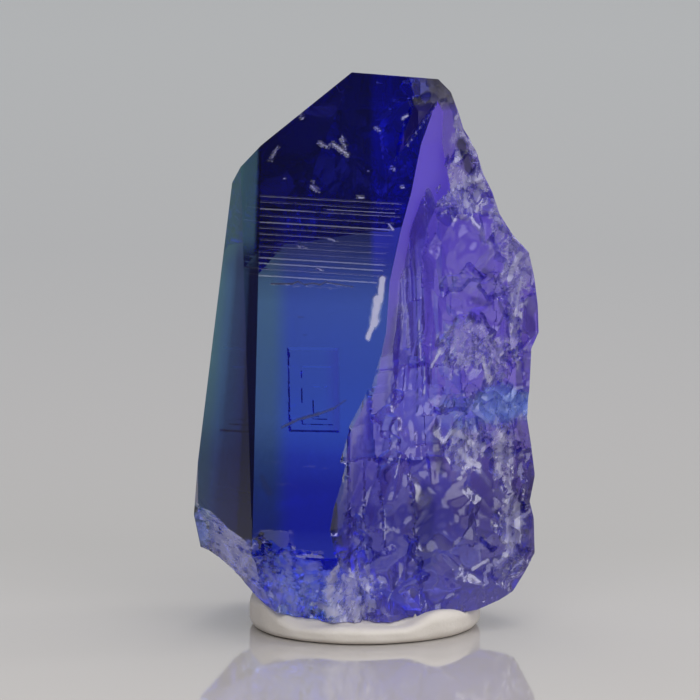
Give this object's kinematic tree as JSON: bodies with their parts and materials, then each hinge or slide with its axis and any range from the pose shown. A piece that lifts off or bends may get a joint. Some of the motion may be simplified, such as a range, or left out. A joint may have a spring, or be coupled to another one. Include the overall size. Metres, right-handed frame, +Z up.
{
  "type": "crystal specimen",
  "caption": "Upright natural tanzanite crystal with a flat growth face, a sloping chisel top and a broken, shell-fractured side, held on a round pad of mounting putty.",
  "frame": {"origin": "middle of the pad's flat underside, on the surface it stands on", "axes": "+Z up along the crystal, the large flat growth face looks along -Y, the broken side is towards +X"},
  "size_m": [0.0191, 0.0131, 0.0314],
  "materials": {
    "tanzanite": "clear violet-blue crystal, glassy growth faces, rough and frosted on the breaks",
    "mounting_putty": "matt off-white putty"
  },
  "bodies": {
    "root": {"tanzanite_crystal": "tanzanite", "putty_pad": "mounting_putty"}
  },
  "joints": []
}
